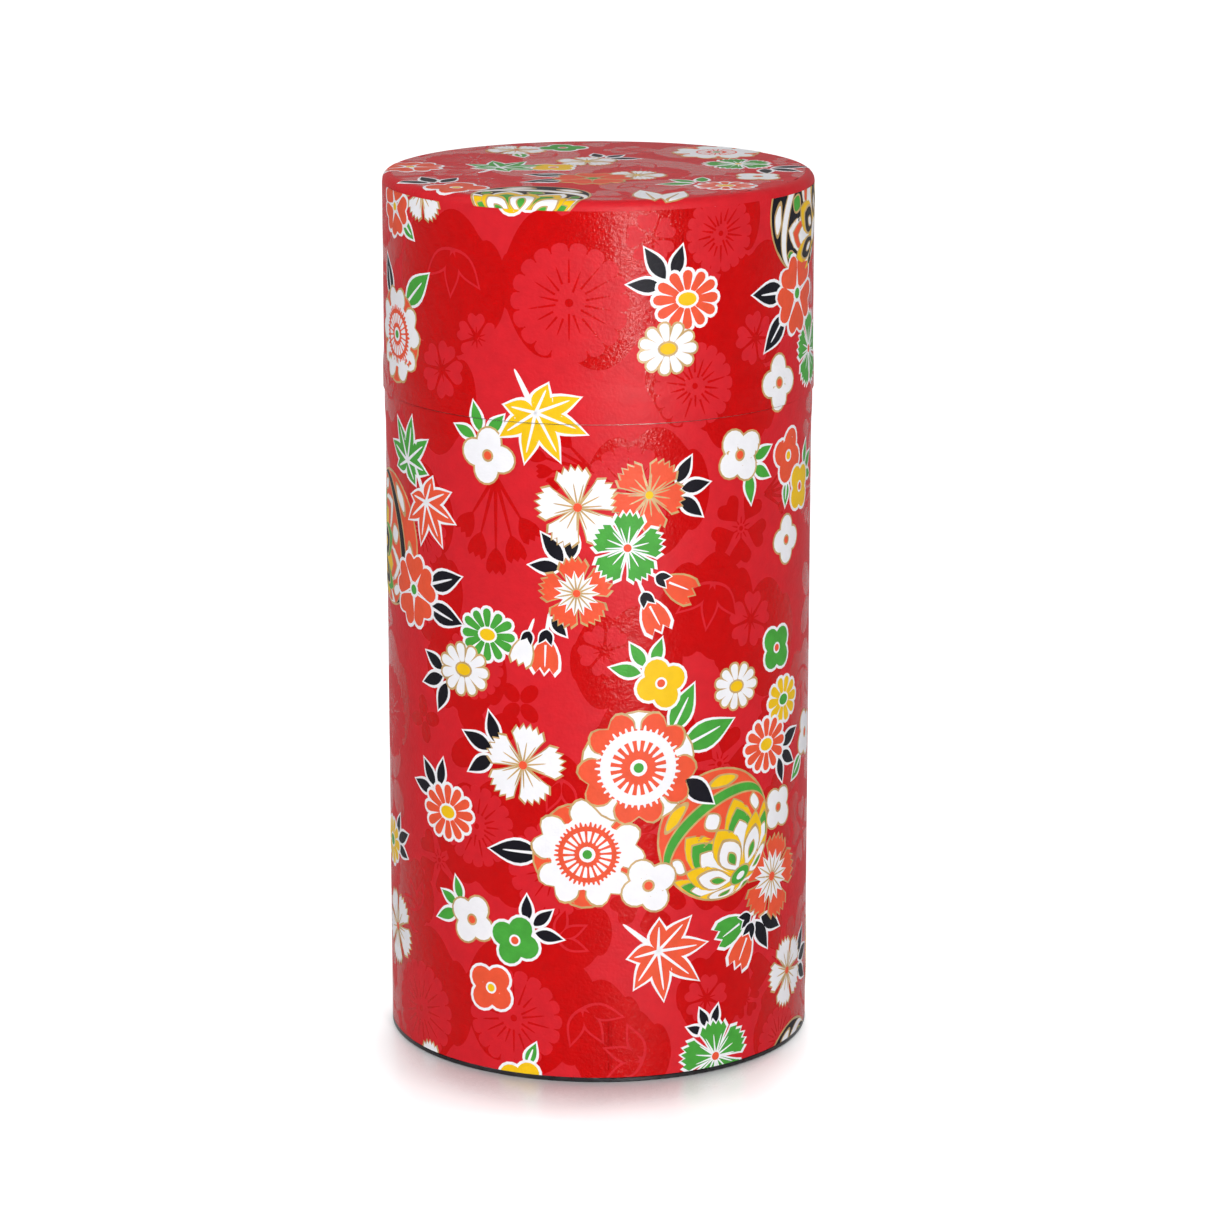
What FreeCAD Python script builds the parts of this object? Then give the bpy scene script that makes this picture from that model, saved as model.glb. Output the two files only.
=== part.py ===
"""Paper-covered tea caddy: a round tinplate body with a neck, a slip cap and an inner lid.

Millimetres, +Z up. The origin is the middle of the foot, on the surface the caddy stands on.
The front faces -Y, and the papers are lapped at the back, on +Y.
"""
import FreeCAD
import Part
import math
import os

# Caddy as a whole
BODY_DIAMETER = 76.6        # over the body's paper
CADDY_HEIGHT = 157.5        # foot to the paper on top of the cap
CAP_HEIGHT = 38.5           # lower edge of the cap to the paper on its top
CAP_SEAT_GAP = 0.15         # hairline between cap and body

# Sheet materials and fits
TIN = 0.3
PAPER = 0.2
PASTE = 0.02                # film of paste under a paper, or the gap of a tight fit
CAP_CLEARANCE = 0.2         # all round, cap over neck
LID_CLEARANCE = 0.2         # all round, inner lid in the neck's hem

# Papers
LAP_WIDTH = 6.0             # overlap of each wrapped paper at the back

# Body's tube and bottom end
BODY_SWELL = 0.15           # folded upper edge of the body's tube
BODY_SWELL_HEIGHT = 3.0
SWELL_TAPER = 1.5           # height over which a folded edge runs out
FOOT_RIM_HEIGHT = 0.9       # black rim below the paper
FOOT_RIM_INSET = 0.1        # rim stands back from the paper
FOOT_RIM_ROUND = 0.25
BOTTOM_RECESS = 3.0         # foot to the underside of the bottom panel
BOTTOM_BEAD_RADIUS = 27.0   # middle of the stiffening ring pressed into the panel
BOTTOM_BEAD_WIDTH = 5.0
BOTTOM_BEAD_RISE = 0.7

# Neck
NECK_SUNK = 25.0            # length of neck inside the body
NECK_HEADROOM = 1.7         # mouth below the collar of the cap's top
NECK_HEM_HEIGHT = 4.0

# Cap
CAP_HEM_SWELL = 0.22        # folded lower edge of the cap's tube
CAP_HEM_HEIGHT = 3.5
SHOULDER_RADIUS = 1.8       # over the paper
CAP_COLLAR_HEIGHT = 4.0     # collar of the pressed top inside the cap's tube

# Inner lid
LID_DEPTH = 8.0             # mouth down to the floor of the pan
LID_BEND = 1.2              # outside of the bend between wall and floor
LID_LIP_SETBACK = 0.15      # lip stands back from the outside of the neck
LID_SEAT_RADIUS = 11.0      # raised seat for the knob
LID_SEAT_RISE = 0.8
LID_SEAT_SLOPE = 1.2

# Knob with its rivet and washer
KNOB_HEIGHT = 9.0
KNOB_HEAD_DIAMETER = 14.0
KNOB_HEAD_EDGE = 3.2        # height of the head at its rim
KNOB_CROWN = 1.3            # rise of the domed head
KNOB_WAIST_DIAMETER = 6.4
KNOB_FOOT_DIAMETER = 9.0
KNOB_FOOT_HEIGHT = 1.4
RIVET_DIAMETER = 3.0
RIVET_GRIP = 5.5            # length of rivet inside the knob
RIVET_HEAD_DIAMETER = 5.6
RIVET_HEAD_HEIGHT = 0.9
WASHER_DIAMETER = 8.0
WASHER_THICKNESS = 0.5

FULL_TURN = 360.0
SHORTEST_RUN = 1e-6         # two roundings closer than this meet without a straight run

# Radii that follow from the sizes above, from the body's paper inwards and out again
body_paper_radius = BODY_DIAMETER / 2
body_tube_radius = body_paper_radius - PAPER - PASTE
body_bore_radius = body_tube_radius - TIN
neck_radius = body_bore_radius - PASTE
neck_bore_radius = neck_radius - TIN
mouth_radius = neck_bore_radius - TIN
cap_bore_radius = neck_radius + CAP_CLEARANCE
cap_tube_radius = cap_bore_radius + TIN
cap_paper_radius = cap_tube_radius + PASTE + PAPER

# Heights that follow from the sizes above
cap_edge_height = CADDY_HEIGHT - CAP_HEIGHT
body_edge_height = cap_edge_height - CAP_SEAT_GAP
shoulder_height = CADDY_HEIGHT - SHOULDER_RADIUS
collar_foot_height = shoulder_height - CAP_COLLAR_HEIGHT
mouth_height = collar_foot_height - NECK_HEADROOM
cap_tin_height = CADDY_HEIGHT - PAPER - PASTE
pan_floor_height = mouth_height - LID_DEPTH
knob_seat_height = pan_floor_height + TIN + LID_SEAT_RISE


def section_edges(corners):
    """Edges of a closed section from its corners: (radius, height) or (radius, height, rounding)."""
    points = [FreeCAD.Vector(c[0], 0, c[1]) for c in corners]
    roundings = [c[2] if len(c) > 2 else 0 for c in corners]
    runs = []
    arcs = []
    for i, corner in enumerate(points):
        before = (points[i - 1] - corner).normalize()
        after = (points[(i + 1) % len(points)] - corner).normalize()
        half_angle = before.getAngle(after) / 2
        setback = roundings[i] / math.tan(half_angle)
        start = corner + before * setback
        end = corner + after * setback
        runs.append((start, end))
        if roundings[i]:
            inward = (before + after).normalize()
            depth = roundings[i] / math.sin(half_angle) - roundings[i]
            arcs.append(Part.Arc(start, corner + inward * depth, end).toShape())
        else:
            arcs.append(None)
    edges = []
    for i, (start, end) in enumerate(runs):
        if arcs[i]:
            edges.append(arcs[i])
        following = runs[(i + 1) % len(runs)][0]
        if end.distanceToPoint(following) > SHORTEST_RUN:
            edges.append(Part.LineSegment(end, following).toShape())
    return edges


def turned(corners, angle=FULL_TURN):
    """Solid of revolution about Z of a closed section."""
    section = Part.Face(Part.Wire(section_edges(corners)))
    return section.revolve(FreeCAD.Vector(0, 0, 0), FreeCAD.Vector(0, 0, 1), angle)


def wrapped(inner_line):
    """Paper wrapped on a line of (radius, height) from its lower edge up, with its lap at the back."""
    sheet_section = layer_section(inner_line, PAPER)
    lap_line = [(radius + PAPER, height) for radius, height in inner_line]
    lap_angle = math.degrees(LAP_WIDTH / body_paper_radius)
    lap = turned(layer_section(lap_line, PAPER), lap_angle)
    lap.rotate(FreeCAD.Vector(0, 0, 0), FreeCAD.Vector(0, 0, 1), 90 - lap_angle / 2)
    return turned(sheet_section).fuse(lap).removeSplitter()


def layer_section(inner_line, thickness):
    """Closed section of a layer of one thickness that lies outside a line."""
    outer_line = [(radius + thickness, height) for radius, height in inner_line]
    return inner_line + outer_line[::-1]


def swollen_line(radius, edge_height, swell, swell_height, far_height):
    """Line up or down a tube whose edge is thickened by a fold, from that edge to the far end."""
    way = 1 if far_height > edge_height else -1
    return [
        (radius + swell, edge_height),
        (radius + swell, edge_height + way * swell_height),
        (radius, edge_height + way * (swell_height + SWELL_TAPER)),
        (radius, far_height),
    ]


def outside(line, gap):
    """The same line, further out."""
    return [(radius + gap, height) for radius, height in line]


def body_tube():
    outer = swollen_line(body_tube_radius, body_edge_height, BODY_SWELL, BODY_SWELL_HEIGHT, FOOT_RIM_HEIGHT)
    bore = [(body_bore_radius, FOOT_RIM_HEIGHT), (body_bore_radius, body_edge_height)]
    return turned(outer + bore)


def body_paper():
    outer = swollen_line(body_tube_radius, body_edge_height, BODY_SWELL, BODY_SWELL_HEIGHT, FOOT_RIM_HEIGHT)
    return wrapped(outside(outer, PASTE)[::-1])


def body_bottom():
    """Pressed end: a folded rim to stand on, a wall inside the tube and a panel with a ring."""
    rim_radius = body_paper_radius - FOOT_RIM_INSET
    wall_radius = body_bore_radius - PASTE
    wall_inner = wall_radius - TIN
    rim_round = min(FOOT_RIM_ROUND, FOOT_RIM_HEIGHT / 3, (rim_radius - wall_inner) / 3)
    panel_top = BOTTOM_RECESS + TIN
    bead_outer = BOTTOM_BEAD_RADIUS + BOTTOM_BEAD_WIDTH / 2
    bead_inner = BOTTOM_BEAD_RADIUS - BOTTOM_BEAD_WIDTH / 2
    bead_slope = BOTTOM_BEAD_RISE
    below = [
        (0, BOTTOM_RECESS),
        (bead_inner, BOTTOM_RECESS),
        (bead_inner + bead_slope, BOTTOM_RECESS + BOTTOM_BEAD_RISE),
        (bead_outer - bead_slope, BOTTOM_RECESS + BOTTOM_BEAD_RISE),
        (bead_outer, BOTTOM_RECESS),
        (wall_inner, BOTTOM_RECESS),
        (wall_inner, 0, rim_round),
    ]
    rim = [
        (rim_radius, 0, rim_round),
        (rim_radius, FOOT_RIM_HEIGHT, rim_round),
        (wall_radius, FOOT_RIM_HEIGHT),
    ]
    above = [
        (wall_radius, panel_top, TIN),
        (bead_outer, panel_top),
        (bead_outer - bead_slope, panel_top + BOTTOM_BEAD_RISE),
        (bead_inner + bead_slope, panel_top + BOTTOM_BEAD_RISE),
        (bead_inner, panel_top),
        (0, panel_top),
    ]
    return turned(below + rim + above)


def neck_ring():
    """Sleeve inside the body; its upper edge is folded inwards to a smooth mouth."""
    foot = body_edge_height - NECK_SUNK
    hem_foot = mouth_height - NECK_HEM_HEIGHT
    return turned([
        (neck_bore_radius, foot),
        (neck_radius, foot),
        (neck_radius, mouth_height),
        (mouth_radius, mouth_height),
        (mouth_radius, hem_foot),
        (neck_bore_radius, hem_foot - TIN),
    ])


def cap_tube():
    outer = swollen_line(cap_tube_radius, cap_edge_height, CAP_HEM_SWELL, CAP_HEM_HEIGHT, shoulder_height)
    bore = [(cap_bore_radius, shoulder_height), (cap_bore_radius, cap_edge_height)]
    return turned(outer + bore)


def cap_side_paper():
    outer = swollen_line(cap_tube_radius, cap_edge_height, CAP_HEM_SWELL, CAP_HEM_HEIGHT, shoulder_height)
    return wrapped(outside(outer, PASTE))


def cap_top():
    """Pressed disc with a rounded shoulder, plugged into the cap's tube by a collar."""
    collar_radius = cap_bore_radius - PASTE
    collar_bore = collar_radius - TIN
    underside = cap_tin_height - TIN
    tin_rounding = SHOULDER_RADIUS - PAPER - PASTE
    return turned([
        (0, underside),
        (collar_bore, underside, tin_rounding - TIN),
        (collar_bore, collar_foot_height),
        (collar_radius, collar_foot_height),
        (collar_radius, shoulder_height),
        (cap_tube_radius, shoulder_height),
        (cap_tube_radius, cap_tin_height, tin_rounding),
        (0, cap_tin_height),
    ])


def cap_top_paper():
    """Paper disc pressed down over the shoulder as far as the side paper."""
    inner_radius = cap_paper_radius - PAPER
    underside = CADDY_HEIGHT - PAPER
    seam = shoulder_height
    return turned([
        (0, underside),
        (inner_radius, underside, SHOULDER_RADIUS - PAPER),
        (inner_radius, seam),
        (cap_paper_radius, seam),
        (cap_paper_radius, CADDY_HEIGHT, SHOULDER_RADIUS),
        (0, CADDY_HEIGHT),
    ])


def inner_lid_pan():
    """Pressed pan that hangs in the mouth by its lip, with a raised seat and a hole for the knob."""
    wall = mouth_radius - LID_CLEARANCE
    wall_inner = wall - TIN
    lip = neck_radius - LID_LIP_SETBACK
    floor_top = pan_floor_height + TIN
    hole = RIVET_DIAMETER / 2 + PASTE
    slope_foot = LID_SEAT_RADIUS + LID_SEAT_SLOPE
    return turned([
        (hole, pan_floor_height + LID_SEAT_RISE),
        (LID_SEAT_RADIUS, pan_floor_height + LID_SEAT_RISE),
        (slope_foot, pan_floor_height),
        (wall, pan_floor_height, LID_BEND),
        (wall, mouth_height),
        (lip, mouth_height),
        (lip, mouth_height + TIN, TIN / 2),
        (wall_inner, mouth_height + TIN, TIN / 2),
        (wall_inner, floor_top, LID_BEND - TIN),
        (slope_foot, floor_top),
        (LID_SEAT_RADIUS, knob_seat_height),
        (hole, knob_seat_height),
    ])


def inner_lid_knob():
    """Moulded mushroom knob with a blind bore in its foot for the rivet."""
    head = KNOB_HEAD_DIAMETER / 2
    waist = KNOB_WAIST_DIAMETER / 2
    foot = KNOB_FOOT_DIAMETER / 2
    bore = RIVET_DIAMETER / 2 + PASTE
    rim_top = knob_seat_height + KNOB_HEIGHT - KNOB_CROWN
    rim_foot = rim_top - KNOB_HEAD_EDGE
    crown = knob_seat_height + KNOB_HEIGHT
    bore_end = knob_seat_height + RIVET_GRIP + PASTE
    foot_top = knob_seat_height + KNOB_FOOT_HEIGHT
    crown_flat = head / 2
    edge_rounding = KNOB_HEAD_EDGE / 3
    neck_rounding = (rim_foot - foot_top) / 3
    return turned([
        (0, bore_end),
        (bore, bore_end),
        (bore, knob_seat_height),
        (foot, knob_seat_height),
        (foot, foot_top, KNOB_FOOT_HEIGHT / 3),
        (waist, foot_top, neck_rounding),
        (waist, rim_foot, neck_rounding),
        (head, rim_foot, edge_rounding),
        (head, rim_top, edge_rounding),
        (crown_flat, crown, edge_rounding),
        (0, crown),
    ])


def knob_washer():
    top = pan_floor_height + LID_SEAT_RISE
    hole = RIVET_DIAMETER / 2 + PASTE
    outer = WASHER_DIAMETER / 2
    return turned([
        (hole, top - WASHER_THICKNESS),
        (outer, top - WASHER_THICKNESS),
        (outer, top),
        (hole, top),
    ])


def knob_rivet():
    """Rivet from below, through washer and pan, held in the knob."""
    head_top = pan_floor_height + LID_SEAT_RISE - WASHER_THICKNESS
    shank = RIVET_DIAMETER / 2
    head = RIVET_HEAD_DIAMETER / 2
    end = knob_seat_height + RIVET_GRIP
    return turned([
        (0, head_top - RIVET_HEAD_HEIGHT),
        (head, head_top - RIVET_HEAD_HEIGHT, RIVET_HEAD_HEIGHT / 2),
        (head, head_top),
        (shank, head_top),
        (shank, end),
        (0, end),
    ])


PIECES = {
    "body_tube": body_tube,
    "body_bottom": body_bottom,
    "neck_ring": neck_ring,
    "body_paper": body_paper,
    "cap_tube": cap_tube,
    "cap_top": cap_top,
    "cap_side_paper": cap_side_paper,
    "cap_top_paper": cap_top_paper,
    "inner_lid_pan": inner_lid_pan,
    "inner_lid_knob": inner_lid_knob,
    "knob_washer": knob_washer,
    "knob_rivet": knob_rivet,
}

os.makedirs("parts", exist_ok=True)
for name, make in PIECES.items():
    piece = make()
    piece.exportStep(f"parts/{name}.step")
    print(f"{name}: valid {piece.isValid()}, solids {len(piece.Solids)}, volume {piece.Volume:.1f} mm3")
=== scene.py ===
import bmesh
import bpy
import functools
import math
import random
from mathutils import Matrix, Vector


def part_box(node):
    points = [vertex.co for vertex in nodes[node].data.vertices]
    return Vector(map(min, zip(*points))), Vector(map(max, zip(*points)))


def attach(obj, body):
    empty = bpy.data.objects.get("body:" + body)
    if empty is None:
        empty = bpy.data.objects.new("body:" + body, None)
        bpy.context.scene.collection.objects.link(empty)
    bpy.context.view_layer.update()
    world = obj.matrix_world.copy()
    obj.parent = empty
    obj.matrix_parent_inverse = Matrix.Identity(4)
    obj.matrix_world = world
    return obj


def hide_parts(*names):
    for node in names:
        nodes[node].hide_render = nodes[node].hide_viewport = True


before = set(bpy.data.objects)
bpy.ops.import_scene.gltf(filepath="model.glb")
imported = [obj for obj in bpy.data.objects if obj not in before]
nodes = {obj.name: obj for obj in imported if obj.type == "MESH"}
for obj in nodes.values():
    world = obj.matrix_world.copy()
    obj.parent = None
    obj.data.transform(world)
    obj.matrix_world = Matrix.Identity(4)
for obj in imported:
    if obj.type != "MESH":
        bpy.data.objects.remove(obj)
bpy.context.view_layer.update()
scene = bpy.context.scene
MM = 0.001


# Tinplate walls: the body's tube, the neck that the cap slides on, the cap's tube and its pressed top.
# Bright tinned steel sheet, rolled into tubes and left bare inside. The rolling leaves a fine straight
# grain, and handling leaves faint clouds in the tin.
def put(tree, kind, *feeds, settings=(), **named):
    """Adds a node. Each feed is a value for an input, or the socket that feeds it."""
    made = tree.nodes.new(kind)
    for name, value in dict(settings).items():
        setattr(made, name, value)
    wanted = list(enumerate(feeds)) + [(name.replace("_", " "), value) for name, value in named.items()]
    for place, value in wanted:
        if isinstance(value, bpy.types.NodeSocket):
            tree.links.new(value, made.inputs[place])
        elif value is not None:
            made.inputs[place].default_value = value
    return made


def paint(red, green, blue):
    """Colour written as on a paint chart, 0 to 255, as the linear colour that shaders take."""
    chart = [c / 255 for c in (red, green, blue)]
    return [c / 12.92 if c <= 0.04045 else ((c + 0.055) / 1.055) ** 2.4 for c in chart] + [1.0]


def new_finish(name):
    """An empty material with its node tree, its shader and the object's own coordinates."""
    finish = bpy.data.materials.new(name)
    finish.use_nodes = True
    tree = finish.node_tree
    place = put(tree, "ShaderNodeTexCoord").outputs["Object"]
    return finish, tree, tree.nodes["Principled BSDF"], place


def speckle(tree, place, size, detail=3.0, stretch=(1, 1, 1)):
    """Noise whose marks are about one size, in metres, stretched along the axes given."""
    spread = put(tree, "ShaderNodeMapping", place, Scale=[1 / s for s in stretch]).outputs["Vector"]
    return put(tree, "ShaderNodeTexNoise", Vector=spread, Scale=1 / size, Detail=detail).outputs[0]


def shades(tree, mark, dark, light, low=0.3, high=0.7):
    """Colour that runs from dark to light as a mark runs from low to high."""
    ramp = put(tree, "ShaderNodeValToRGB", mark)
    ramp.color_ramp.elements[0].position = low
    ramp.color_ramp.elements[0].color = dark
    ramp.color_ramp.elements[1].position = high
    ramp.color_ramp.elements[1].color = light
    return ramp.outputs["Color"]


def ranged(tree, mark, low, high, start=0.0, full=1.0):
    """A mark that runs from start to full, spread over a range of values."""
    return put(tree, "ShaderNodeMapRange", mark, start, full, low, high).outputs[0]


def dress(tree, shader, colour, roughness):
    tree.links.new(colour, shader.inputs["Base Color"])
    tree.links.new(roughness, shader.inputs["Roughness"])


def wear(node, finish):
    """Puts a finish on a CAD node."""
    nodes[node].data.materials.clear()
    nodes[node].data.materials.append(finish)


def tinplate(name, grain):
    finish, tree, shader, place = new_finish(name)
    cloud = speckle(tree, place, 9 * MM)
    lines = speckle(tree, place, 0.35 * MM, stretch=grain)
    silver = shades(tree, cloud, paint(196, 194, 188), paint(222, 221, 217))
    dress(tree, shader, silver, ranged(tree, lines, 0.16, 0.34))
    relief = put(tree, "ShaderNodeBump", Height=lines, Strength=0.06, Distance=0.05 * MM)
    tree.links.new(relief.outputs["Normal"], shader.inputs["Normal"])
    shader.inputs["Metallic"].default_value = 1.0
    return finish


wall_tin = tinplate("tinplate_wall", grain=(40, 40, 1))
for wall in ("body_tube", "neck_ring", "cap_tube"):
    wear(wall, wall_tin)
sheet_tin = tinplate("tinplate_sheet", grain=(1, 60, 1))
wear("cap_top", sheet_tin)


# Bottom end: pressed tinplate, black lacquered outside, with the folded rim that the caddy stands on.
# The inside of the pressing is bare tin. The lacquer is thin and glossy, with dust and rub marks.
LACQUER_TOP = 3.15 * MM


def maths(tree, operation, a, b=None, c=None):
    return put(tree, "ShaderNodeMath", a, b, c, settings={"operation": operation}).outputs[0]


lacquer, tree, shader, place = new_finish("black_lacquered_tin")
rub = speckle(tree, place, 2.5 * MM)
height = put(tree, "ShaderNodeSeparateXYZ", place).outputs["Z"]
bare = maths(tree, "GREATER_THAN", height, LACQUER_TOP)
black = shades(tree, rub, paint(14, 14, 16), paint(34, 33, 36))
tin = paint(212, 211, 206)
skin = put(tree, "ShaderNodeMix", bare, *[None] * 5, black, tin, settings={"data_type": "RGBA"})
tree.links.new(bare, shader.inputs["Metallic"])
dress(tree, shader, skin.outputs[2], ranged(tree, rub, 0.2, 0.38))
wear("body_bottom", lacquer)


# Body paper and cap band: one sheet of printed washi, cut in two and wound round the tin with a pasted
# lap at the back. The paper is varnished, so its fibres and fine creases show in the light it mirrors.
WASHI = 0.07 * MM
INK_RISE = 0.13 * MM
LAP = 6 * MM
LAP_RISE = 1.5 * MM
SWELL_TAPER = 4 * MM
BODY_SWELL = 0.15 * MM
BODY_SWELL_HEIGHT = 3 * MM
CAP_SWELL = 0.22 * MM
CAP_SWELL_HEIGHT = 3.5 * MM
PAPER_COLUMNS = 248
TAPER_ROWS = 6
SHARP_EDGE = 35
PAPER_RED = paint(213, 32, 42)

body_low, body_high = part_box("body_paper")
band_low, band_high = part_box("cap_side_paper")
body_radius = body_high.x - BODY_SWELL - INK_RISE
band_radius = band_high.x - CAP_SWELL - INK_RISE
half_lap = LAP / 2 / body_radius
lap_rise = LAP_RISE / body_radius
body_full = body_high.z - BODY_SWELL_HEIGHT
band_full = band_low.z + CAP_SWELL_HEIGHT


def wall_edges(radius, low, high, swell, start, full):
    """A wall's sizes, named as its print asks for them."""
    return {"Wall radius": radius, "Low edge": low.z, "High edge": high.z,
            "Swell": swell, "Swell start": start, "Swell full": full}


walls = {
    "body": wall_edges(body_radius, body_low, body_high, BODY_SWELL, body_full - SWELL_TAPER, body_full),
    "cap": wall_edges(band_radius, band_low, band_high, CAP_SWELL, band_full + SWELL_TAPER, band_full),
}


def portion(value, start, full):
    return min(1, max(0, (value - start) / (full - start)))


def eased(value, start, full):
    part = portion(value, start, full)
    return part * part * (3 - 2 * part)


def new_piece(name, mesh, finish, body):
    """A finished mesh as a piece that rides on a body."""
    mesh.materials.clear()
    mesh.materials.append(finish)
    piece = bpy.data.objects.new(name, mesh)
    scene.collection.objects.link(piece)
    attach(piece, body)
    return piece


def finished(shell, mesh):
    """Writes what was built into a mesh, smooth but for its edges."""
    shell.to_mesh(mesh)
    shell.free()
    mesh.shade_smooth()
    mesh.set_sharp_from_angle(angle=math.radians(SHARP_EDGE))
    return mesh


def wound_paper(name, wall):
    """A sheet wound once round the tin, its free end lying on its start at the back."""
    start = wall["Swell start"]
    full = wall["Swell full"]
    taper = [start + (full - start) * k / TAPER_ROWS for k in range(TAPER_ROWS + 1)]
    rows = sorted([wall["Low edge"], wall["High edge"], *taper])
    first = -math.pi - half_lap
    shell = bmesh.new()
    grid = {}
    for side, depth in enumerate((0, WASHI)):
        for i in range(PAPER_COLUMNS + 1):
            angle = first + (2 * math.pi + 2 * half_lap) * i / PAPER_COLUMNS
            lap = WASHI * portion(angle, math.pi - half_lap - lap_rise, math.pi - half_lap)
            for j, z in enumerate(rows):
                radius = wall["Wall radius"] + wall["Swell"] * eased(z, start, full) + lap - depth
                grid[side, i, j] = shell.verts.new((radius * math.sin(angle), -radius * math.cos(angle), z))
    top = len(rows) - 1

    def face(*corners):
        shell.faces.new([grid[corner] for corner in corners])

    for i in range(PAPER_COLUMNS):
        k = i + 1
        for j in range(top):
            face((0, i, j), (0, k, j), (0, k, j + 1), (0, i, j + 1))
            face((1, i, j + 1), (1, k, j + 1), (1, k, j), (1, i, j))
        face((1, i, 0), (1, k, 0), (0, k, 0), (0, i, 0))
        face((0, i, top), (0, k, top), (1, k, top), (1, i, top))
    for j in range(top):
        face((1, 0, j), (0, 0, j), (0, 0, j + 1), (1, 0, j + 1))
        face((0, k, j), (1, k, j), (1, k, j + 1), (0, k, j + 1))
    return finished(shell, bpy.data.meshes.new(name))


def washi_relief(tree, place, shader, strength):
    """Fibres and fine creases of the varnished paper, which every ink on it shares."""
    grain = speckle(tree, place, 0.5 * MM, detail=2)
    creases = speckle(tree, place, 1.8 * MM, stretch=(1, 1, 0.7))
    height = maths(tree, "MULTIPLY_ADD", creases, 1.2, grain)
    relief = put(tree, "ShaderNodeBump", Height=height, Strength=strength, Distance=0.1 * MM)
    tree.links.new(relief.outputs["Normal"], shader.inputs["Normal"])
    return grain


def washi(name, colour, shade=0.9, gloss=(0.4, 0.54), relief=0.6, shine=0.1):
    """Paper or ink: a mottled colour between a shade of itself and itself."""
    finish, tree, shader, place = new_finish(name)
    grain = washi_relief(tree, place, shader, relief)
    cloud = speckle(tree, place, 2.2 * MM)
    dark = [c * shade for c in colour[:3]] + [1.0]
    dress(tree, shader, shades(tree, cloud, dark, colour), ranged(tree, grain, *gloss))
    shader.inputs["Specular IOR Level"].default_value = shine
    return finish


red_washi = washi("red_washi", PAPER_RED)
wrap = new_piece("body_wrap", wound_paper("body_wrap", walls["body"]), red_washi, "body")
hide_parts("body_paper")
band = new_piece("cap_band", wound_paper("cap_band", walls["cap"]), red_washi, "cap")
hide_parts("cap_side_paper")


# Cap disc: a round of the same washi pasted on the pressed top and rubbed down over its shoulder as far
# as the band.
DISC_COLUMNS = 120
SHOULDER_ROWS = 8

disc_low, disc_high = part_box("cap_top_paper")
disc_top = disc_high.z - INK_RISE
shoulder = disc_top - disc_low.z
flat_radius = disc_high.x - INK_RISE - shoulder


def pressed_round(name):
    """A round of paper, flat on top and bent down at its edge, turned from its section."""
    bends = [math.pi / 2 * k / SHOULDER_ROWS for k in range(SHOULDER_ROWS + 1)]

    def bent(reach):
        return [(flat_radius + reach * math.sin(bend), disc_low.z + reach * math.cos(bend)) for bend in bends]

    section = [(0, disc_top), *bent(shoulder), *reversed(bent(shoulder - WASHI)), (0, disc_top - WASHI)]
    turned = bmesh.new()
    rings = []
    for radius, z in section:
        steps = DISC_COLUMNS if radius else 1
        turns = [2 * math.pi * k / steps for k in range(steps)]
        ring = [turned.verts.new((radius * math.cos(turn), radius * math.sin(turn), z)) for turn in turns]
        rings.append(ring * (DISC_COLUMNS // steps))
    for first, second in zip(rings, rings[1:]):
        for k in range(DISC_COLUMNS):
            corners = (first[k - 1], second[k - 1], second[k], first[k])
            turned.faces.new(list(dict.fromkeys(corners)))
    return finished(turned, bpy.data.meshes.new(name))


disc = new_piece("cap_disc", pressed_round("cap_disc"), red_washi, "cap")
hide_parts("cap_top_paper")


# Inner lid: a pressed tinplate pan that hangs in the neck by its lip. A black moulded knob is held by an
# aluminium rivet from below, with a washer under the pan.
def rubbed(name, size, dark, light, gloss, metal=0.0):
    """Plain finish with rub marks of one size."""
    finish, tree, shader, place = new_finish(name)
    rub = speckle(tree, place, size)
    dress(tree, shader, shades(tree, rub, dark, light), ranged(tree, rub, *gloss))
    shader.inputs["Metallic"].default_value = metal
    return finish


wear("inner_lid_pan", sheet_tin)
knob_black = rubbed("moulded_black_knob", 1.2 * MM, paint(20, 20, 22), paint(38, 37, 38), (0.2, 0.4))
wear("inner_lid_knob", knob_black)
rivet_metal = rubbed("rivet_aluminium", 0.6 * MM, paint(186, 188, 190), paint(226, 227, 229), (0.22, 0.42),
                     metal=1.0)
wear("knob_rivet", rivet_metal)
wear("knob_washer", rivet_metal)


# Inks: the washi is printed through stencils, one for each ink, as yuzen paper is. Every ink dries to a
# film that stands a little proud of the paper, and later inks lie on earlier ones.
INK_LAYERS = 23
LAYER = INK_RISE / INK_LAYERS
INK_BED = 0.03 * MM

inks = {
    "ground": washi("ground_ink", paint(199, 3, 4), gloss=(0.16, 0.28), relief=0.9, shine=0.12),
    "light": washi("light_ground_ink", PAPER_RED),
    "white": washi("white_ink", paint(243, 242, 246), shade=0.96),
    "vermilion": washi("vermilion_ink", paint(238, 88, 56)),
    "yellow": washi("yellow_ink", paint(244, 196, 24), shade=0.92),
    "green": washi("green_ink", paint(74, 166, 62), shade=0.85),
    "black": washi("black_ink", paint(20, 18, 28), shade=0.7),
    "gold": washi("gold_ink", paint(208, 170, 106), shade=0.72, gloss=(0.3, 0.45), shine=0.4),
}


# Punches: the shapes that the stencils are cut with. Each is one unit long, one unit wide and one unit
# deep, and is stretched to size where it is used. The petals of thread balls are cut a round at a time.
BALL_TILT = math.radians(56)
BALL_PETALS = 6
WELD = 1e-4
SLIVER = 1e-5


def closing_in(count):
    """Stations from 0 to 1, closer together towards both ends."""
    return [(1 - math.cos(math.pi * i / count)) / 2 for i in range(count + 1)]


def across(count):
    return [2 * i / count - 1 for i in range(count + 1)]


def across_round(count):
    return [2 * station - 1 for station in closing_in(count)]


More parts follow.
